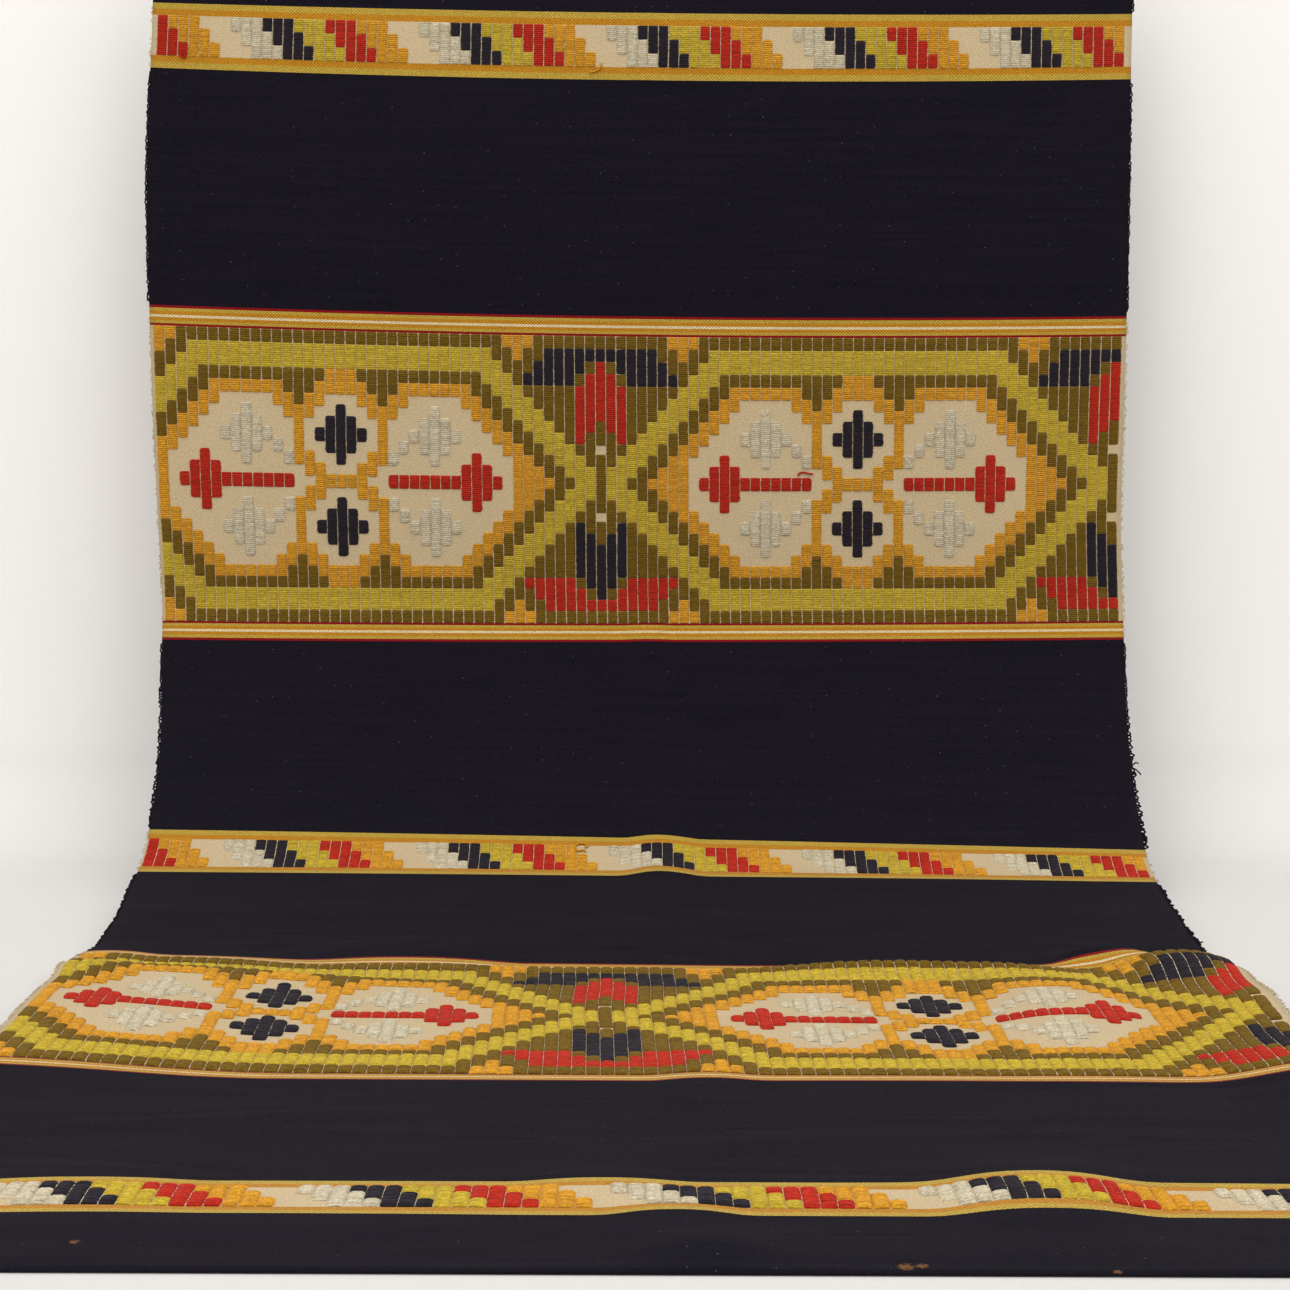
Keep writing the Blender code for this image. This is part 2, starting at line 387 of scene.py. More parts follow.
def column_line(stretch, number):
    """The u of the warp line to the right of a column; number 0 is the left side of the first one."""
    left, right = STRIPS.get(stretch, PLAIN_STRIPS)
    return left + number * (1.0 - left - right) / COLUMNS


def column_edges(stretch, column):
    """Left and right u of a column, between its two warp lines."""
    left = column_line(stretch, column - 1)
    width = column_line(stretch, column) - left
    return left, left + width


def row_lines(stretch):
    """The w of every row line of a band's inlay."""
    edge = WIDE_EDGE if stretch.startswith("wide") else NARROW_EDGE
    rows = WIDE_ROWS if stretch.startswith("wide") else NARROW_ROWS
    border = sum(width for _yarn, width in edge)
    top = start_of(stretch) + border
    span = length_of(stretch) - border * (1.0 + LOW_EDGE.get(stretch, 1.0))
    if rows == NARROW_ROWS:
        return [top + span * k / rows for k in range(rows + 1)]
    # The first and last rows are woven a little deeper than the middle ones.
    weights = [1.0 + 0.16 * abs((k - 12) / 12.0) ** 3 for k in range(rows)]
    scale = span / sum(weights)
    lines = [top]
    for weight in weights:
        lines.append(lines[-1] + weight * scale)
    return lines


def band_rows(stretch):
    """Every row of faces of a band: end of the row along w, and its yarn or inlay row."""
    edge = WIDE_EDGE if stretch.startswith("wide") else NARROW_EDGE
    rows = []
    w = start_of(stretch)
    for yarn, width in edge:
        w += width
        rows.append((w, yarn))
    for k, line in enumerate(row_lines(stretch)[1:]):
        rows.append((line, k))
    w = rows[-1][0]
    for yarn, width in reversed(edge):
        w += width * LOW_EDGE.get(stretch, 1.0)
        rows.append((w, yarn))
    return rows


# ---- materials ----

def add_node(tree, kind, **settings):
    """A node with its settings; in_ and a socket's name or number gives that socket a value or a link."""
    node = tree.nodes.new(kind)
    for key, value in settings.items():
        if not key.startswith("in_"):
            setattr(node, key, value)
            continue
        place = key[3:]
        socket = node.inputs[int(place) if place.isdigit() else place]
        if isinstance(value, bpy.types.NodeSocket):
            tree.links.new(value, socket)
        else:
            socket.default_value = value
    return node


def maths(tree, operation, *values):
    """A sum of one to three values or sockets, as a socket."""
    inputs = {f"in_{k}": value for k, value in enumerate(values)}
    return add_node(tree, "ShaderNodeMath", operation=operation, **inputs).outputs[0]


def ranged(tree, source, low, high, to_low=0.0, to_high=1.0):
    """The source's stretch from low to high, spread over another one and kept inside it."""
    node = add_node(tree, "ShaderNodeMapRange", in_0=source, in_1=low, in_2=high, in_3=to_low, in_4=to_high)
    return node.outputs[0]


def times(tree, vector, factor):
    """A vector or a colour times a number, as a socket."""
    return add_node(tree, "ShaderNodeVectorMath", operation="SCALE", in_0=vector, in_Scale=factor).outputs[0]


def noise(tree, vector, scale, detail, **settings):
    """Flat noise over the given coordinates."""
    return add_node(tree, "ShaderNodeTexNoise", noise_dimensions="2D", in_Scale=scale, in_Detail=detail,
                    in_Vector=vector, **settings)


def make_group(name, inputs, outputs):
    """An empty node group with its sockets."""
    group = bpy.data.node_groups.new(name, "ShaderNodeTree")
    for label, kind, default in inputs:
        socket = group.interface.new_socket(label, in_out="INPUT", socket_type=kind)
        if default is not None:
            socket.default_value = default
    for label, kind in outputs:
        group.interface.new_socket(label, in_out="OUTPUT", socket_type=kind)
    return group, group.nodes.new("NodeGroupInput"), group.nodes.new("NodeGroupOutput")


def cell_tone_group():
    """Tone that changes from pick to pick and column to column, as hand-dyed yarn does."""
    group, given, out = make_group(
        "yarn_tone",
        (("Cloth", "NodeSocketVector", None), ("Pick", "NodeSocketFloat", 0.0024),
         ("Column", "NodeSocketFloat", 0.0108), ("Amount", "NodeSocketFloat", 0.12)),
        (("Tone", "NodeSocketFloat"),))
    split = add_node(group, "ShaderNodeSeparateXYZ", in_0=given.outputs["Cloth"])
    across = maths(group, "DIVIDE", split.outputs[0], given.outputs["Column"])
    along = maths(group, "DIVIDE", split.outputs[1], given.outputs["Pick"])
    floor_a = maths(group, "FLOOR", across)
    floor_b = maths(group, "FLOOR", along)
    cell = add_node(group, "ShaderNodeCombineXYZ", in_0=floor_a, in_1=floor_b)
    white = add_node(group, "ShaderNodeTexWhiteNoise", noise_dimensions="3D", in_Vector=cell.outputs[0])
    cloud = noise(group, given.outputs["Cloth"], 14.0, 3.0)
    both = maths(group, "ADD", white.outputs["Value"], cloud.outputs["Fac"])
    centred = maths(group, "SUBTRACT", both, 1.0)
    scaled = maths(group, "MULTIPLY_ADD", centred, given.outputs["Amount"], 1.0)
    group.links.new(scaled, out.inputs["Tone"])
    return group


def pick_group():
    """Picks of laid-in wool: their round height, painted shade in the valleys between them and a tone for each."""
    group, given, out = make_group(
        "wool_picks",
        (("Yarn", "NodeSocketVector", None), ("Amount", "NodeSocketFloat", 0.15)),
        (("Height", "NodeSocketFloat"), ("Shade", "NodeSocketFloat"), ("Tone", "NodeSocketFloat")))
    link = group.links.new
    split = add_node(group, "ShaderNodeSeparateXYZ", in_0=given.outputs["Yarn"])
    wander = noise(group, given.outputs["Yarn"], 0.9, 2.0)
    bent = maths(group, "MULTIPLY_ADD", wander.outputs["Fac"], 0.5, split.outputs[1])
    shifted = maths(group, "SUBTRACT", bent, 0.25)
    place = maths(group, "FRACT", shifted)
    centred = maths(group, "MULTIPLY_ADD", place, 2.0, -1.0)
    square = maths(group, "MULTIPLY", centred, centred)
    height = maths(group, "SUBTRACT", 1.0, square)
    link(height, out.inputs["Height"])
    # Painted shade: colour darkened to 0.38 in the valleys between picks, up to 1.06 on their crowns.
    shade = ranged(group, height, 0.0, 0.6, 0.38, 1.06)
    link(shade, out.inputs["Shade"])
    cell = add_node(group, "ShaderNodeVectorMath", operation="FLOOR", in_0=given.outputs["Yarn"])
    white = add_node(group, "ShaderNodeTexWhiteNoise", noise_dimensions="2D", in_Vector=cell.outputs[0])
    cloud = noise(group, given.outputs["Yarn"], 0.13, 2.0)
    both = maths(group, "ADD", white.outputs["Value"], cloud.outputs["Fac"])
    less = maths(group, "SUBTRACT", both, 1.0)
    tone = maths(group, "MULTIPLY_ADD", less, given.outputs["Amount"], 1.0)
    link(tone, out.inputs["Tone"])
    return group


def fibre_group():
    """Height of fine wool fibres that run across the cloth, with loose fluff over them."""
    group, given, out = make_group(
        "wool_fibres",
        (("Cloth", "NodeSocketVector", None), ("Along", "NodeSocketFloat", 260.0),
         ("Across", "NodeSocketFloat", 1500.0)),
        (("Height", "NodeSocketFloat"), ("Fluff", "NodeSocketFloat")))
    link = group.links.new
    stretch = add_node(group, "ShaderNodeCombineXYZ", in_0=given.outputs["Along"], in_1=given.outputs["Across"])
    scaled = add_node(group, "ShaderNodeVectorMath", operation="MULTIPLY", in_0=given.outputs["Cloth"],
                      in_1=stretch.outputs[0])
    fibres = noise(group, scaled.outputs[0], 1.0, 3.0, in_Distortion=0.4)
    fluff = noise(group, given.outputs["Cloth"], 420.0, 4.0, in_Roughness=0.7)
    link(fibres.outputs["Fac"], out.inputs["Height"])
    link(fluff.outputs["Fac"], out.inputs["Fluff"])
    return group


def weave_group():
    """Height of a plain weave of thin threads, low in the gaps between them, where stripes use it for painted shade.
    """
    group, given, out = make_group(
        "plain_weave",
        (("Cloth", "NodeSocketVector", None), ("Threads", "NodeSocketFloat", 900.0),
         ("Picks", "NodeSocketFloat", 700.0)),
        (("Height", "NodeSocketFloat"),))
    link = group.links.new
    wobble = noise(group, given.outputs["Cloth"], 60.0, 2.0)
    shift = times(group, wobble.outputs["Color"], 0.0012)
    moved = add_node(group, "ShaderNodeVectorMath", operation="ADD", in_0=given.outputs["Cloth"], in_1=shift)
    split = add_node(group, "ShaderNodeSeparateXYZ", in_0=moved.outputs[0])
    waves = []
    for axis, rate in ((0, "Threads"), (1, "Picks")):
        turn = maths(group, "MULTIPLY", split.outputs[axis], given.outputs[rate])
        angle = maths(group, "MULTIPLY", turn, 2 * math.pi)
        waves.append(maths(group, "SINE", angle))
    product = maths(group, "MULTIPLY", waves[0], waves[1])
    height = maths(group, "MULTIPLY_ADD", product, 0.5, 0.5)
    link(height, out.inputs["Height"])
    return group


def stain_group():
    """Mask of small rust spots, placed by distance along the cloth."""
    group, given, out = make_group("age_marks", (("Cloth", "NodeSocketVector", None),),
                                   (("Rust", "NodeSocketFloat"),))
    link = group.links.new
    marks = ((0.1606, 1.9980, 0.0052), (0.6407, 2.0335, 0.0085), (0.6500, 2.0320, 0.0060), (0.7630, 2.0405, 0.0050),
             (0.2900, 0.6456, 0.0040))
    grain = noise(group, given.outputs["Cloth"], 380.0, 3.0)
    last = None
    for x, y, radius in marks:
        gap = add_node(group, "ShaderNodeVectorMath", operation="DISTANCE", in_1=(x, y, 0.0),
                       in_0=given.outputs["Cloth"])
        near = ranged(group, gap.outputs["Value"], radius, radius * 0.2)
        last = near if last is None else maths(group, "MAXIMUM", last, near)
    rough = maths(group, "MULTIPLY", last, grain.outputs["Fac"])
    edge = ranged(group, rough, 0.22, 0.42)
    link(edge, out.inputs["Rust"])
    return group


def shared_group(name):
    """A shared node group, made the first time it is asked for."""
    makers = {"yarn_tone": cell_tone_group, "wool_picks": pick_group, "wool_fibres": fibre_group,
              "plain_weave": weave_group, "age_marks": stain_group}
    return bpy.data.node_groups.get(name) or makers[name]()


def add_group(tree, name, **settings):
    """A shared node group placed in a tree."""
    return add_node(tree, "ShaderNodeGroup", node_tree=shared_group(name), **settings)


def start_material(name, colour, roughness, sheen):
    """A material with its shader's constants set and the cloth coordinates read from the UV map."""
    mat = bpy.data.materials.new(name)
    mat.use_nodes = True
    tree = mat.node_tree
    shader = tree.nodes["Principled BSDF"]
    shader.inputs["Base Color"].default_value = (*colour, 1.0)
    shader.inputs["Roughness"].default_value = roughness
    shader.inputs["Sheen Weight"].default_value = sheen
    shader.inputs["Sheen Roughness"].default_value = 0.5
    shader.inputs["Specular IOR Level"].default_value = 0.06
    cloth = add_node(tree, "ShaderNodeUVMap", uv_map="cloth").outputs[0]
    return mat, tree, shader, cloth


def toned_colour(tree, cloth, colour, amount, column, pick, darker=0.55, fibre_rates=(260.0, 1500.0)):
    """Colour of a yarn with its tone, dark fibres and pale fluff; returns the colour and two heights."""
    tone = add_group(tree, "yarn_tone", in_Amount=amount, in_Column=column, in_Pick=pick, in_Cloth=cloth)
    fibres = add_group(tree, "wool_fibres", in_Along=fibre_rates[0], in_Across=fibre_rates[1], in_Cloth=cloth)
    shade = ranged(tree, fibres.outputs["Height"], 0.3, 0.7, darker, 1.25)
    both = maths(tree, "MULTIPLY", tone.outputs[0], shade)
    tinted = times(tree, colour, both)
    return tinted, fibres


def add_bump(tree, shader, layers):
    """Stacks bump layers, each a height socket with its distance and strength."""
    before = None
    for socket, distance, strength in layers:
        bump = add_node(tree, "ShaderNodeBump", in_Strength=strength, in_Distance=distance, in_Height=socket)
        if before is not None:
            tree.links.new(before.outputs[0], bump.inputs["Normal"])
        before = bump
    tree.links.new(before.outputs[0], shader.inputs["Normal"])


def float_wool(key, colour):
    """Thick, soft laid-in wool, pick by pick."""
    mat, tree, shader, cloth = start_material("wool_" + key, colour, 0.95, 0.05 if key == "light_blue" else 0.10)
    link = tree.links.new
    dark = key == "navy_inlay"
    relief = 0.55 if key == "light_blue" else 1.0
    yarn = add_node(tree, "ShaderNodeUVMap", uv_map="yarn").outputs[0]
    picks = add_group(tree, "wool_picks", in_Amount=0.20, in_Yarn=yarn)
    fibres = add_group(tree, "wool_fibres", in_Cloth=cloth)
    hairs = ranged(tree, fibres.outputs["Height"], 0.3, 0.7, 0.82, 1.16)
    # Painted shade: the picks' Shade darkens the wool colour in the valleys between picks.
    first = maths(tree, "MULTIPLY", picks.outputs["Tone"], picks.outputs["Shade"])
    second = maths(tree, "MULTIPLY", first, hairs)
    grain = ranged(tree, fibres.outputs["Fluff"], 0.34, 0.66, 0.80, 1.18)
    third = maths(tree, "MULTIPLY", second, grain)
    tinted = times(tree, colour, third)
    link(tinted, shader.inputs["Base Color"])
    add_bump(tree, shader, ((picks.outputs["Height"], 0.0007, 0.8 * relief),
                            (fibres.outputs["Fluff"], 0.0006, 0.35 if dark else 0.5 * relief),
                            (fibres.outputs["Height"], 0.0004, 0.5 * relief)))
    return mat


def stripe_wool(key, colour):
    """Fine wool woven tight into a stripe."""
    mat, tree, shader, cloth = start_material("stripe_" + key, colour, 0.92, 0.12)
    tinted, fibres = toned_colour(tree, cloth, colour, 0.14, 0.0050, 0.0012, darker=0.7, fibre_rates=(500.0, 1500.0))
    weave = add_group(tree, "plain_weave", in_Threads=300.0, in_Picks=300.0, in_Cloth=cloth)
    # Painted shade: the stripe's colour is darkened where the weave's height is low, in the gaps between its
    # threads.
    weave_gap_shade = ranged(tree, weave.outputs[0], 0.1, 0.6, 0.62, 1.1)
    gap_shaded_colour = times(tree, tinted, weave_gap_shade)
    tree.links.new(gap_shaded_colour, shader.inputs["Base Color"])
    add_bump(tree, shader, ((fibres.outputs["Fluff"], 0.0005, 0.4), (weave.outputs["Height"], 0.0005, 0.6)))
    return mat


def bare_cloth(name, colour):
    """Undyed ground with its threads showing."""
    mat, tree, shader, cloth = start_material(name, colour, 0.92, 0.05)
    tinted, fibres = toned_colour(tree, cloth, colour, 0.06, 0.0013, 0.0011, darker=0.86, fibre_rates=(900.0, 700.0))
    tree.links.new(tinted, shader.inputs["Base Color"])
    weave = add_group(tree, "plain_weave", in_Threads=560.0, in_Picks=480.0, in_Cloth=cloth)
    add_bump(tree, shader, ((fibres.outputs["Fluff"], 0.0004, 0.3), (weave.outputs["Height"], 0.0004, 0.5)))
    return mat


def navy_cloth(colour):
    """The plain navy ground: fine threads, faint weft bars, lint and a few rust spots."""
    mat, tree, shader, cloth = start_material("navy_ground", colour, 0.97, 0.018)
    link = tree.links.new
    tinted, fibres = toned_colour(tree, cloth, colour, 0.16, 0.05, 0.0021, darker=0.72, fibre_rates=(240.0, 900.0))
    bars = add_node(tree, "ShaderNodeTexNoise", noise_dimensions="2D", in_Scale=1.0, in_Detail=3.0)
    stretch = add_node(tree, "ShaderNodeVectorMath", operation="MULTIPLY", in_1=(3.0, 190.0, 1.0), in_0=cloth)
    link(stretch.outputs[0], bars.inputs["Vector"])
    bar_tone = ranged(tree, bars.outputs["Fac"], 0.3, 0.7, 0.91, 1.10)
    barred = times(tree, tinted, bar_tone)
    lint = add_node(tree, "ShaderNodeTexVoronoi", voronoi_dimensions="2D", feature="F1", in_Scale=60.0,
                    in_Vector=cloth)
    speck = ranged(tree, lint.outputs["Distance"], 0.036, 0.014)
    split = add_node(tree, "ShaderNodeSeparateXYZ", in_0=lint.outputs["Color"])
    some = ranged(tree, split.outputs[0], 0.76, 1.0, 0.0, 0.75)
    lint_mask = maths(tree, "MULTIPLY", speck, some)
    with_lint = add_node(tree, "ShaderNodeMix", data_type="RGBA", in_B=(0.23, 0.22, 0.24, 1.0),
                         in_Factor=lint_mask, in_A=barred)
    marks = add_group(tree, "age_marks", in_Cloth=cloth)
    with_rust = add_node(tree, "ShaderNodeMix", data_type="RGBA", in_B=(0.16, 0.070, 0.030, 1.0),
                         in_Factor=marks.outputs["Rust"], in_A=with_lint.outputs["Result"])
    link(with_rust.outputs["Result"], shader.inputs["Base Color"])
    weave = add_group(tree, "plain_weave", in_Threads=640.0, in_Picks=520.0, in_Cloth=cloth)
    slow = add_node(tree, "ShaderNodeVectorMath", operation="MULTIPLY", in_1=(3.0, 14.0, 1.0), in_0=cloth)
    wrinkles = noise(tree, slow.outputs[0], 1.0, 2.0, in_Distortion=0.6)
    along = add_node(tree, "ShaderNodeSeparateXYZ", in_0=cloth)
    low_down = ranged(tree, along.outputs[1], 0.85, 1.15, 0.12, 1.0)
    soft = maths(tree, "MULTIPLY", wrinkles.outputs["Fac"], low_down)
    add_bump(tree, shader, ((soft, 0.0065, 0.8), (bars.outputs["Fac"], 0.0006, 0.35),
                            (weave.outputs["Height"], 0.0004, 0.5), (fibres.outputs["Fluff"], 0.0004, 0.3)))
    return mat


def loose_yarn(key):
    """Wool of a loose yarn, with its fibres read from the object's own coordinates."""
    found = bpy.data.materials.get("loose_" + key)
    if found:
        return found
    colour = tuple(getattr(bpy.context.scene.curtain_yarns, key))
    mat = bpy.data.materials.new("loose_" + key)
    mat.use_nodes = True
    tree = mat.node_tree
    shader = tree.nodes["Principled BSDF"]
    shader.inputs["Roughness"].default_value = 0.95
    shader.inputs["Specular IOR Level"].default_value = 0.06
    where = add_node(tree, "ShaderNodeTexCoord")
    fluff = add_node(tree, "ShaderNodeTexNoise", in_Scale=700.0, in_Detail=3.0,
                     in_Vector=where.outputs["Object"])
    shade = ranged(tree, fluff.outputs["Fac"], 0.3, 0.7, 0.65, 1.2)
    tinted = times(tree, colour, shade)
    tree.links.new(tinted, shader.inputs["Base Color"])
    return mat


def finish(key):
    """The material of a yarn, made the first time it is asked for."""
    yarns = bpy.context.scene.curtain_yarns
    names = {"navy": "navy_ground", "bare": "bare_ground", "warp": "warp_threads"}
    loose = key in YARNS.values()
    name = names.get(key, ("wool_" if loose else "stripe_") + key)
    found = bpy.data.materials.get(name)
    if found:
        return found
    colour = tuple(getattr(yarns, key))
    if key == "navy":
        return navy_cloth(colour)
    if key in ("bare", "warp"):
        return bare_cloth(name, colour)
    return float_wool(key, colour) if loose else stripe_wool(key, colour)


# ---- mesh helpers ----

def keep_map(mesh, name, places):
    """Stores a flat place for each vertex as a UV map: cloth is in metres, yarn in columns and picks."""
    layer = mesh.uv_layers.new(name=name)
    loops = [0] * len(mesh.loops)
    mesh.loops.foreach_get("vertex_index", loops)
    flat = []
    for index in loops:
        flat.extend(places[index])
    layer.data.foreach_set("uv", flat)


def start_mesh():
    """An empty bmesh with a layer for each vertex's place on the flat cloth."""
    bm = bmesh.new()
    bm.verts.layers.float_vector.new("place")
    bm.verts.layers.float_vector.new("yarn")
    return bm, bm.verts.layers.float_vector["place"]


def add_piece(name, bm, keys):
    """Makes the finished piece at the origin, with its materials, riding on the root."""
    layer = bm.verts.layers.float_vector["place"]
    places = [tuple(vert[layer][:2]) for vert in bm.verts]
    layer = bm.verts.layers.float_vector["yarn"]
    yarns = [tuple(vert[layer][:2]) for vert in bm.verts]
    bm.verts.layers.float_vector.remove(layer)
    bm.verts.layers.float_vector.remove(bm.verts.layers.float_vector["place"])
    mesh = bpy.data.meshes.new(name)
    bm.to_mesh(mesh)
    bm.free()
    for key in keys:
        mesh.materials.append(finish(key))
    keep_map(mesh, "cloth", places)
    if any(place[1] for place in yarns):
        keep_map(mesh, "yarn", yarns)
    mesh.shade_smooth()
    piece = bpy.data.objects.new(name, mesh)
    bpy.context.scene.collection.objects.link(piece)
    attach(piece, "root")
    return piece


# ---- pieces ----

GROUND_COLUMNS = 100
BACK_GAP = 0.0004
GROUND_KEYS = ("navy", "bare", "mustard", "orange_stripe", "cream", "dark_red")


def ground_rows():
    """Every row of faces of the ground, top to hem: end of the row and what it is woven in."""
    rows = []
    w = 0.0
    for stretch, length in STRETCHES:
        if stretch.startswith(("wide", "narrow")):
            before = w
            for line, yarn in band_rows(stretch):
                key = "bare" if isinstance(yarn, int) else yarn
                parts = 1 if key != "bare" else (4 if stretch == "wide_low" else 2)
                rows.extend((before + (line - before) * (k + 1) / parts, key) for k in range(parts))
                before = line
        else:
            count = max(2, round(length / (0.006 if stretch == "navy_3" else 0.0095)))
            rows.extend((w + length * (k + 1) / count, "navy") for k in range(count))
        w += length
    return rows


def build_ground(thick):
    """The one-piece ground: a grid laid along the drape, with woven stripes as rows of faces."""
    rows = ground_rows()
    lines = [0.0] + [row[0] for row in rows]
    bm, layer = start_mesh()
    bmesh.ops.create_grid(bm, x_segments=GROUND_COLUMNS, y_segments=len(rows), size=0.5)
    for face in bm.faces:
        j = min(round((0.5 - vert.co.y) * len(rows)) for vert in face.verts)
        face.material_index = GROUND_KEYS.index(rows[j][1])
    for vert in bm.verts:
        u = vert.co.x + 0.5
        w = lines[round((0.5 - vert.co.y) * len(rows))]
        vert.co = woven(u, w, BACK_GAP)
        vert[layer] = (u * CLOTH_WIDTH, w, 0.0)
    piece = add_piece("ground_cloth", bm, GROUND_KEYS)
    solid = piece.modifiers.new("thickness", "SOLIDIFY")
    solid.thickness = thick - BACK_GAP
    solid.offset = 1.0
    solid.use_even_offset = True
    return piece


class CURTAIN_OT_ground_cloth(bpy.types.Operator):
    """Adds the draped ground cloth with its woven stripes"""

    bl_idname = "curtain.ground_cloth"
    bl_label = "Ground cloth"

    def execute(self, context):
        piece = build_ground(context.scene.curtain_sizes.ground_thick)
        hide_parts("curtain_cloth")
        return {"FINISHED"}


def runs_of(column, yarn_at, rows):
    """Runs of one yarn down a column: letter, first row and one past the last row."""
    runs = []
    first = 0
    for row in range(1, rows + 1):
        if row == rows or yarn_at(column, row) != yarn_at(column, first):
            runs.append((yarn_at(column, first), first, row))
            first = row
    return [run for run in runs if run[0] != "."]


# Cross-section of a laid-in run: share of its width and of its height.
ACROSS_SHAPE = ((0.0, -0.10), (0.05, 0.60), (0.27, 0.96), (0.73, 1.0), (0.95, 0.62), (1.0, -0.10))
VALLEY = 0.64


def lay_run(bm, layer, rng, span, ends, open_sides, rise, base, pitch, number_of_column, first_pick):
    """One run of wool picks in one column: a pillow with a ridge for every pick."""
    yarn = bm.verts.layers.float_vector["yarn"]
    top, end = ends
    open_left, open_right, open_top, open_end = open_sides
    picks = max(2, round((end - top) / pitch))
    steps = 2 * picks
    made = bmesh.ops.create_grid(bm, x_segments=5, y_segments=steps, size=0.5)["verts"]
    left, right = span
    width = right - left
    wander = [(rng.uniform(-0.045, 0.02), rng.uniform(-0.02, 0.045), rng.uniform(0.88, 1.10)) for _ in range(picks)]
    swell = rng.uniform(0.92, 1.08)
    for vert in made:
        i = round((vert.co.x + 0.5) * 5)
        j = round((0.5 - vert.co.y) * steps)
        across, height = ACROSS_SHAPE[i]
        number = min(j // 2, picks - 1)
        pick = wander[number]
        toward = (0.5 - across) * 2
        side = pick[0] * (1 - across) + pick[1] * across
        # Where the run ends on bare ground its picks draw in, and its open sides stand a little proud.
        if (open_left and toward > 0) or (open_right and toward < 0):
            side -= 0.02 * toward
            near = min(j if open_top else 9, steps - j if open_end else 9)
            side += toward * (0.17, 0.06, 0.02, 0.0)[min(near, 3)]
        ridge = 1.0 if j % 2 else VALLEY
        if j % 2 == 0:
            side += 0.085 * toward
        # The first and last picks of a run roll down towards the next colour.
        near = min(j, steps - j)
        ridge *= (0.05 if height > 0 else 1.0, 0.80, 0.94, 1.0)[min(near, 3)]
        n = base + rise * swell * height * ridge * (pick[2] if j % 2 else 1.0)
        u = left + width * (across + side)
        w = top + (end - top) * j / steps
        vert.co = woven(u, w, n)
        vert[layer] = (u * CLOTH_WIDTH, w, 0.0)
        vert[yarn] = (number_of_column + across, first_pick + 0.5 * j, 0.0)
    return picks


def build_inlay(stretch, yarn_at, rows, letters, name, sizes, seed):
    """All runs of the given yarns in one band as one piece."""
    rng = random.Random(seed)
    lines = row_lines(stretch)
    bm, layer = start_mesh()
    marked = 0
    rise = sizes.float_rise * (1.35 if stretch in ("wide_low", "narrow_low") else 1.0)
    for column in range(1, COLUMNS + 1):
        pick = 1
        for letter, first, last in runs_of(column, yarn_at, rows):
            if letter not in letters:
                continue
            above = yarn_at(column, first - 1) if first > 0 else ""
            below = yarn_at(column, last) if last < rows else ""
            left = yarn_at(column - 1, first) if column > 1 else "."
            right = yarn_at(column + 1, first) if column < COLUMNS else "."
            # A run with bare ground above or below spills a little past its row line.
            top = lines[first] - (0.0012 if above == "." else 0.0)
            end = lines[last] + (0.0013 if below == "." else 0.0)
            pick += 3 + lay_run(bm, layer, rng, column_edges(stretch, column), (top, end),
                                (left == ".", right == ".", above == ".", below == "."),
                                rise, sizes.ground_thick - 0.0001, sizes.pick_pitch, column, pick)
            bm.faces.ensure_lookup_table()
            index = letters.index(letter)
            for k in range(marked, len(bm.faces)):
                bm.faces[k].material_index = index
            marked = len(bm.faces)
    return add_piece(name, bm, tuple(YARNS[letter] for letter in letters))


def lay_warp(bm, layer, rng, u, ends, top_n, low_n, pitch, half):
    """One pale warp thread between two columns, pinched wherever a pick passes over it."""
    top, end = ends
    steps = max(2, round((end - top) / pitch))
    made = bmesh.ops.create_grid(bm, x_segments=2, y_segments=steps, size=0.5)["verts"]
    half *= 1.0 / CLOTH_WIDTH
    beat = [rng.uniform(0.6, 1.2) for _ in range(steps + 1)]
    for vert in made:
        j = round((0.5 - vert.co.y) * steps)
        w = top + (end - top) * j / steps
        place = u + vert.co.x * 2 * half * beat[j]
        n = top_n if abs(vert.co.x) < 0.25 else low_n
        vert.co = woven(place, w, n)
        vert[layer] = (place * CLOTH_WIDTH, w, 0.0)


def build_warp(stretch, yarn_at, rows, sizes, seed):
    """The pale warp lines that show between the columns of one band."""
    rng = random.Random(seed)
    lines = row_lines(stretch)
    bm, layer = start_mesh()
    base = sizes.ground_thick
    for column in range(1, COLUMNS):
        u = column_line(stretch, column)
        first = 0
        kinds = []
        for row in range(rows):
            pair = yarn_at(column, row) + yarn_at(column + 1, row)
            kinds.append("" if "." in pair else ("high" if all(x in "ONR" for x in pair) else "low"))
        for row in range(1, rows + 1):
            if row == rows or kinds[row] != kinds[first]:
                if kinds[first]:
                    high = kinds[first] == "high"
                    share, half = (0.62, 0.00024) if high else (0.36, 0.00016)
                    lay_warp(bm, layer, rng, u, (lines[first], lines[row]), base + share * sizes.float_rise,
                             base - 0.0001, 1.5 * sizes.pick_pitch, half)
                first = row
    return add_piece(stretch + "_warp_lines", bm, ("warp",))


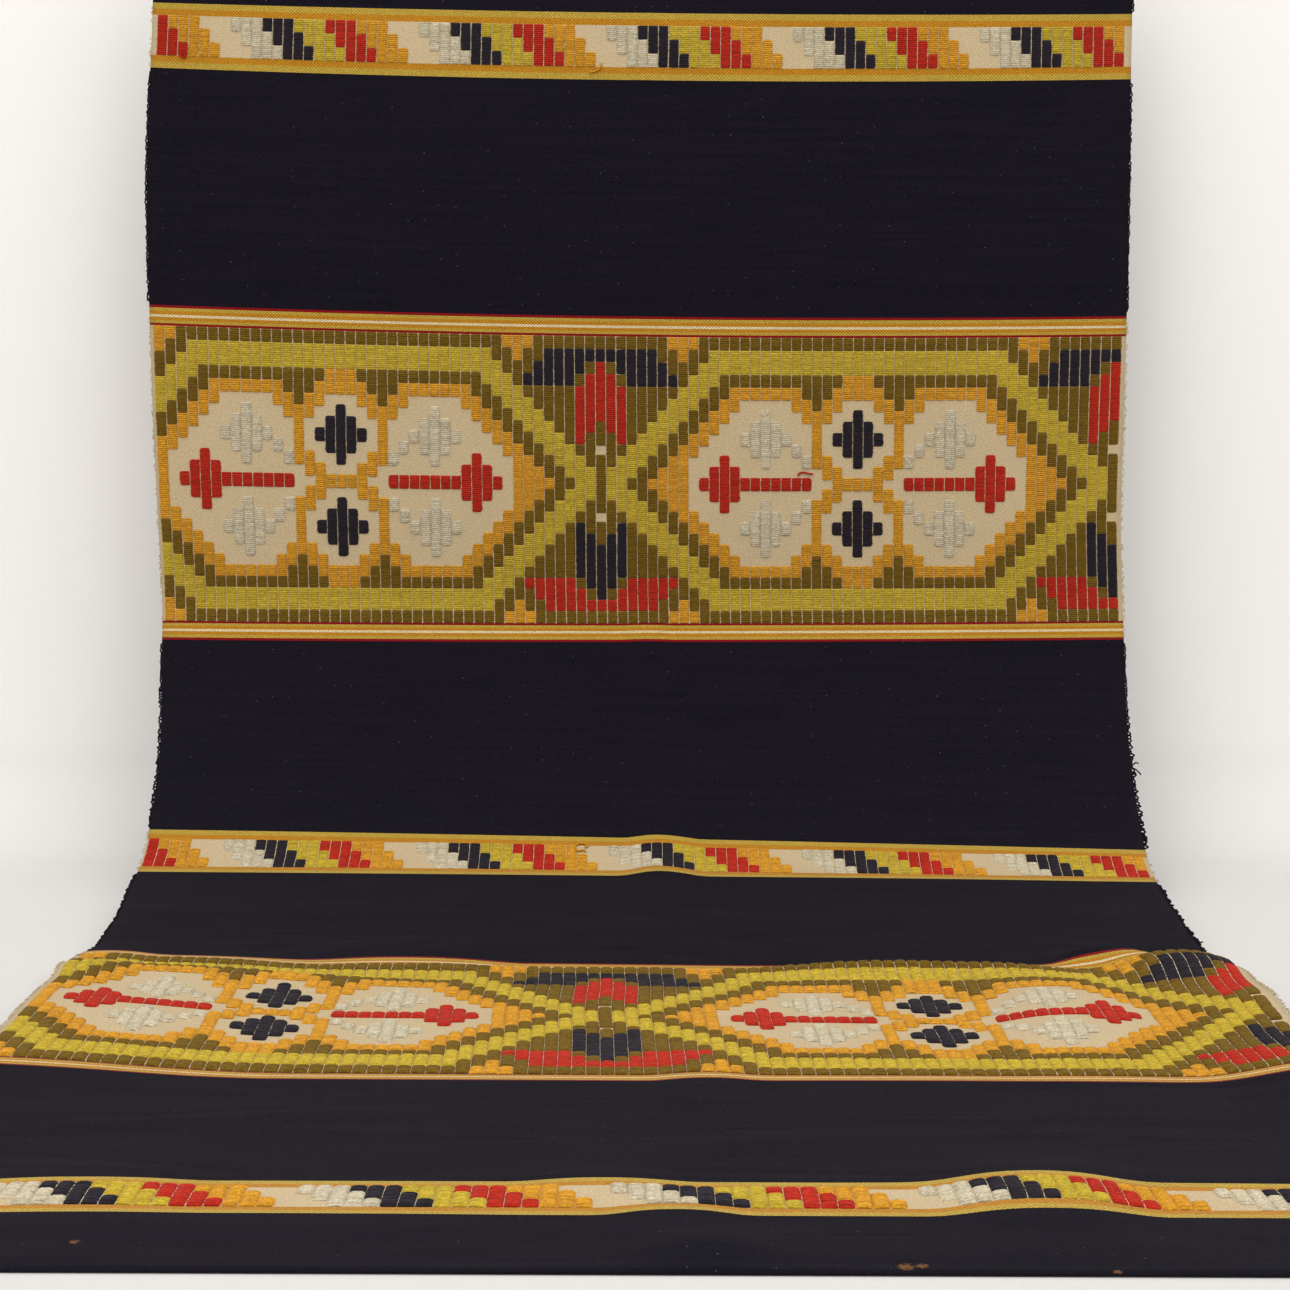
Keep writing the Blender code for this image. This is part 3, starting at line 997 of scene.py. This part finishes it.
def build_back(stretch, yarn_at, rows, name):
    """The reverse of a band: the same chart, woven flatter and seen from behind."""
    lines = row_lines(stretch)
    letters = "".join(YARNS)
    keys = tuple(YARNS.values()) + ("bare",)
    bm, layer = start_mesh()
    bmesh.ops.create_grid(bm, x_segments=2 * COLUMNS, y_segments=rows, size=0.5)
    for face in bm.faces:
        middle = face.calc_center_median()
        column = min(COLUMNS, int((middle.x + 0.5) * COLUMNS) + 1)
        row = min(rows - 1, int((0.5 - middle.y) * rows))
        letter = yarn_at(column, row)
        face.material_index = letters.index(letter) if letter in letters else len(letters)
    bmesh.ops.reverse_faces(bm, faces=bm.faces[:])
    for vert in bm.verts:
        i = round((vert.co.x + 0.5) * 2 * COLUMNS)
        j = round((0.5 - vert.co.y) * rows)
        u = column_line(stretch, 0.5 * i)
        w = lines[j]
        vert.co = woven(u, w, BACK_GAP - (0.00035 if i % 2 else -0.0001))
        vert[layer] = (u * CLOTH_WIDTH, w, 0.0)
    return add_piece(name, bm, keys)


class CURTAIN_OT_wide_bands(bpy.types.Operator):
    """Adds the laid-in wool of the two wide bands, one piece for each yarn"""

    bl_idname = "curtain.wide_bands"
    bl_label = "Wide bands"

    def execute(self, context):
        sizes = context.scene.curtain_sizes
        for number, stretch in enumerate(("wide_top", "wide_low")):
            for index, letter in enumerate(YARNS):
                name = stretch + "_" + YARNS[letter]
                build_inlay(stretch, wide_yarn, WIDE_ROWS, letter, name, sizes, 100 * number + index)
            build_warp(stretch, wide_yarn, WIDE_ROWS, sizes, 400 + number)
            build_back(stretch, wide_yarn, WIDE_ROWS, stretch + "_reverse")
        return {"FINISHED"}


class CURTAIN_OT_narrow_bands(bpy.types.Operator):
    """Adds the laid-in wool of the three narrow bands"""

    bl_idname = "curtain.narrow_bands"
    bl_label = "Narrow bands"

    def execute(self, context):
        sizes = context.scene.curtain_sizes
        for number, stretch in enumerate(("narrow_top", "narrow_mid", "narrow_low")):
            build_inlay(stretch, narrow_yarn, NARROW_ROWS, "RYBNC", stretch + "_inlay", sizes, 300 + number)
            build_warp(stretch, narrow_yarn, NARROW_ROWS, sizes, 500 + number)
            build_back(stretch, narrow_yarn, NARROW_ROWS, stretch + "_reverse")
        return {"FINISHED"}


# Loose tails of inlay yarn: yarn, column place u, row place w and the bends of the tail, in millimetres
# across and down from there.
LOOSE_TAILS = (
    ("red", 0.0290, 0.1500, ((0, -4), (1.5, 0.5), (4.5, 2.2), (6.8, -0.5), (7.4, -4))),
    ("orange", 0.4560, 0.1500, ((1, -4), (0.4, 0), (-2, 3), (-6, 5.2), (-11, 6.0))),
    ("red", 0.6640, 0.5650, ((-3, 3), (-1.5, 0.4), (3, -0.6), (8, 0.8), (13, 1.0))),
    ("orange", 0.4330, 1.0060, ((-4, 6), (-5.5, 1), (-2, -3), (3, -4), (7.5, 0), (4, 2.5))),
    ("orange", 0.4290, 1.0130, ((-3, 0), (2, 1.6), (7, -0.4), (9.5, 2.5))),
    ("olive", 0.6500, 1.3360, ((-3, 4), (-1, -2), (-5, -6), (-9, -8))),
    ("navy", 1.0000, 0.8850, ((-3, -2), (2, -1.5), (5, -4), (8, -2.5))),
    ("navy", 1.0000, 0.8870, ((-3, 0), (3, 1.0), (7, 4.5), (9, 8))),
    ("navy", 0.9990, 1.2300, ((-3, 0), (2, 0.5), (5, 3.5), (9, 3.0))),
)


def lay_yarns(name, key, paths, radius):
    """Bent lengths of yarn, drawn as round curves and kept as one mesh."""
    line = bpy.data.curves.new(name, "CURVE")
    line.dimensions = "3D"
    line.bevel_depth = radius
    line.bevel_resolution = 1
    line.use_fill_caps = True
    for path in paths:
        spline = line.splines.new("POLY")
        spline.points.add(len(path) - 1)
        for k, point in enumerate(path):
            spline.points[k].co = (*point, 1.0)
            spline.points[k].radius = 0.55 if k in (0, len(path) - 1) else 1.0
    drawn = bpy.data.objects.new(name + "_line", line)
    mesh = bpy.data.meshes.new_from_object(drawn)
    mesh.name = name
    bpy.data.objects.remove(drawn)
    bpy.data.curves.remove(line)
    mesh.materials.clear()
    mesh.materials.append(loose_yarn(key))
    mesh.shade_smooth()
    piece = bpy.data.objects.new(name, mesh)
    bpy.context.scene.collection.objects.link(piece)
    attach(piece, "root")
    return piece


def above_cloth(u, w, out):
    """A point beside or above the weave that never goes below the floor."""
    point = woven(u, w, out)
    point.z = max(point.z, FLOOR + 0.0012)
    return point


def smooth_path(corners, steps=3):
    """Points of a smooth line through the corners."""
    points = []
    for k in range(len(corners) - 1):
        before = corners[max(k - 1, 0)]
        a, b = corners[k], corners[k + 1]
        after = corners[min(k + 2, len(corners) - 1)]
        for j in range(steps):
            t = j / steps
            points.append(0.5 * (2 * a + (b - before) * t + (2 * before - 5 * a + 4 * b - after) * t * t
                                 + (3 * a - before - 3 * b + after) * t ** 3))
    points.append(corners[-1])
    return points


def edge_loops(sizes):
    """Small uneven turns of the navy weft where it comes back at both selvedges."""
    rng = random.Random(71)
    paths = []
    plain = [(start_of(name), start_of(name) + length) for name, length in STRETCHES
             if name.startswith(("navy", "end"))]
    for side in (0.0, 1.0):
        way = 1.0 if side else -1.0
        for top, end in plain:
            w = top + 0.004
            while w < end - 0.006:
                rough = 1.5 if side and 0.86 < w < 1.29 else (1.0 if w > 0.8 else 0.6)
                reach = sizes.tuft_length * rng.uniform(0.15, 0.9) * rough
                deep = rng.uniform(0.0025, 0.0060)
                out = rng.uniform(0.0006, 0.0014)
                corners = []
                for share, away in ((0.0, -0.6), (0.2, 0.55), (0.55, 1.0), (0.85, 0.45), (1.0, -0.6)):
                    corners.append(above_cloth(side + way * away * reach / CLOTH_WIDTH, w + share * deep, out))
                paths.append(smooth_path(corners, 2))
                w += deep * rng.uniform(0.5, 1.0)
    return paths


# A fuzz thread's bends: share of its reach, how far it turns along the edge, and how high it rises.
FUZZ_BENDS = ((-0.5, 0, 0.0), (0.5, 1, 0.0008), (1.0, -0.5, 0.0012), (0.5, -1.2, 0.0006))


def edge_fuzz():
    """Fine undyed threads that stand out of the selvedges beside the bands."""
    rng = random.Random(72)
    paths = []
    plan = (("wide_low", 0.0, 260, 0.0018), ("wide_low", 1.0, 260, 0.0030), ("wide_top", 1.0, 120, 0.0020),
            ("wide_top", 0.0, 60, 0.0012), ("narrow_mid", 1.0, 18, 0.002), ("narrow_mid", 0.0, 18, 0.002),
            ("narrow_top", 0.0, 14, 0.0015), ("narrow_low", 0.0, 30, 0.0018), ("narrow_low", 1.0, 30, 0.0018))
    for stretch, side, count, reach in plan:
        way = 1.0 if side else -1.0
        for _ in range(count):
            w = start_of(stretch) + length_of(stretch) * rng.uniform(0.02, 0.98)
            long = reach * rng.uniform(0.4, 1.3)
            lean = rng.uniform(-0.005, 0.005)
            bend = rng.uniform(-0.002, 0.002)
            corners = [above_cloth(side + way * long * share / CLOTH_WIDTH, w + lean * share + bend * turn,
                                   0.0012 + rise * rng.uniform(0.2, 1.0))
                       for share, turn, rise in FUZZ_BENDS]
            paths.append(smooth_path(corners, 2))
    return paths


class CURTAIN_OT_loose_yarns(bpy.types.Operator):
    """Adds the uneven selvedge turns, the fuzz beside the bands and the loose tails of inlay yarn"""

    bl_idname = "curtain.loose_yarns"
    bl_label = "Loose yarns"

    def execute(self, context):
        sizes = context.scene.curtain_sizes
        lay_yarns("selvedge_turns", "navy", edge_loops(sizes), 0.0009)
        lay_yarns("selvedge_fuzz", "bare", edge_fuzz(), 0.00026)
        for key in ("red", "orange", "olive", "navy"):
            paths = []
            for name, u, w, bends in LOOSE_TAILS:
                if name == key:
                    high = 0.0008 if key == "navy" else 0.0032
                    corners = [above_cloth(u + x / 1000.0 / CLOTH_WIDTH, w + y / 1000.0, high + 0.0004 * (k % 2))
                               for k, (x, y) in enumerate(bends)]
                    paths.append(smooth_path(corners, 4))
            lay_yarns("loose_tails_" + key, key, paths, 0.0007 if key == "navy" else 0.00095)
        return {"FINISHED"}


def studio_light(name, place, aim, size, power, colour):
    """A soft square lamp aimed at a point."""
    lamp = bpy.data.lights.new(name, "AREA")
    lamp.shape = "SQUARE"
    lamp.size = size
    lamp.energy = power
    lamp.color = colour
    obj = bpy.data.objects.new(name, lamp)
    obj.location = place
    obj.rotation_euler = (Vector(aim) - Vector(place)).to_track_quat("-Z", "Y").to_euler()
    bpy.context.scene.collection.objects.link(obj)


class CURTAIN_OT_studio(bpy.types.Operator):
    """Adds the pale floor and backdrop, the lights and the camera"""

    bl_idname = "curtain.studio"
    bl_label = "Studio"

    def execute(self, context):
        scene = context.scene
        studio = scene.curtain_studio
        bm = bmesh.new()
        bmesh.ops.create_grid(bm, x_segments=1, y_segments=40, size=0.5)
        path = [(-6.0, FLOOR - 0.0005), (0.02, FLOOR - 0.0005)]
        path += [(0.02 + 0.10 * math.sin(a), FLOOR - 0.0005 + 0.10 * (1 - math.cos(a)))
                 for a in [math.pi / 2 * k / 36 for k in range(1, 37)]]
        path += [(0.12, 1.5), (0.12, 3.5), (0.12, 3.6)]
        for vert in bm.verts:
            j = round((vert.co.y + 0.5) * 40)
            vert.co = (vert.co.x * 12.0, *path[j])
        mesh = bpy.data.meshes.new("backdrop")
        bm.to_mesh(mesh)
        bm.free()
        mesh.shade_smooth()
        paper = bpy.data.materials.new("backdrop_paper")
        paper.use_nodes = True
        tree = paper.node_tree
        shader = tree.nodes["Principled BSDF"]
        shader.inputs["Roughness"].default_value = 0.95
        shader.inputs["Specular IOR Level"].default_value = 0.1
        where = add_node(tree, "ShaderNodeTexCoord")
        parts = add_node(tree, "ShaderNodeSeparateXYZ", in_0=where.outputs["Object"])
        # Painted light: the paper is made darker on the floor in front and paler up the cove and towards the wall,
        # to even out how the lamps light the floor and to lift the shade in the corner behind the cloth.
        rising = ranged(tree, parts.outputs[2], FLOOR, FLOOR + 0.12, 0.0, 0.60)
        nearing = ranged(tree, parts.outputs[1], -0.85, 0.0, 0.0, 0.40)
        painted_light_share = maths(tree, "ADD", rising, nearing)
        paint = add_node(tree, "ShaderNodeMix", data_type="RGBA", in_A=(0.645, 0.635, 0.625, 1.0),
                         in_B=(0.91, 0.895, 0.88, 1.0), in_Factor=painted_light_share)
        tree.links.new(paint.outputs["Result"], shader.inputs["Base Color"])
        mesh.materials.append(paper)
        backdrop = bpy.data.objects.new("backdrop", mesh)
        scene.collection.objects.link(backdrop)

        world = bpy.data.worlds.new("studio_air")
        world.use_nodes = True
        world.node_tree.nodes["Background"].inputs["Color"].default_value = (1.0, 0.985, 0.96, 1.0)
        world.node_tree.nodes["Background"].inputs["Strength"].default_value = 0.72
        scene.world = world
        studio_light("key_soft", (-1.7, -2.7, 1.9), (0.0, -0.3, -0.5), 2.4, 29.0, (1.0, 0.98, 0.95))
        studio_light("fill_soft", (2.1, -2.8, 1.5), (0.0, -0.3, -0.5), 2.2, 21.0, (1.0, 0.98, 0.95))
        studio_light("top_soft", (0.0, -1.7, 2.2), (0.0, -0.8, -1.0), 2.2, 36.0, (1.0, 0.99, 0.97))

        camera = bpy.data.cameras.new("camera")
        camera.sensor_width = 36.0
        camera.lens = studio.lens
        eye = bpy.data.objects.new("camera", camera)
        eye.location = (0.0, -studio.eye_distance, FLOOR + studio.eye_height)
        eye.rotation_euler = (math.pi / 2 - studio.eye_tilt, 0.0, 0.0)
        scene.collection.objects.link(eye)
        scene.camera = eye
        scene.view_settings.view_transform = "Standard"
        return {"FINISHED"}


class CURTAIN_PT_panel(bpy.types.Panel):
    """Lists the curtain's sizes, colours and pieces"""

    bl_idname = "CURTAIN_PT_panel"
    bl_label = "Woven curtain"
    bl_space_type = "VIEW_3D"
    bl_region_type = "UI"
    bl_category = "Curtain"

    def draw(self, context):
        layout = self.layout
        for owner in (context.scene.curtain_sizes, context.scene.curtain_yarns, context.scene.curtain_studio):
            box = layout.box()
            for key in owner.__annotations__:
                box.prop(owner, key)
        for operator in OPERATORS:
            layout.operator(operator.bl_idname)


OPERATORS = (CURTAIN_OT_ground_cloth, CURTAIN_OT_wide_bands, CURTAIN_OT_narrow_bands, CURTAIN_OT_loose_yarns,
             CURTAIN_OT_studio)
CLASSES = (CurtainYarns, CurtainSizes, CurtainStudio, *OPERATORS, CURTAIN_PT_panel)


def register():
    for cls in CLASSES:
        bpy.utils.register_class(cls)
    bpy.types.Scene.curtain_yarns = bpy.props.PointerProperty(type=CurtainYarns)
    bpy.types.Scene.curtain_sizes = bpy.props.PointerProperty(type=CurtainSizes)
    bpy.types.Scene.curtain_studio = bpy.props.PointerProperty(type=CurtainStudio)


def unregister():
    del bpy.types.Scene.curtain_studio
    del bpy.types.Scene.curtain_sizes
    del bpy.types.Scene.curtain_yarns
    for cls in reversed(CLASSES):
        bpy.utils.unregister_class(cls)


def main():
    register()
    bpy.ops.curtain.studio()
    bpy.ops.curtain.ground_cloth()
    bpy.ops.curtain.wide_bands()
    bpy.ops.curtain.narrow_bands()
    bpy.ops.curtain.loose_yarns()


if __name__ == "__main__":
    main()
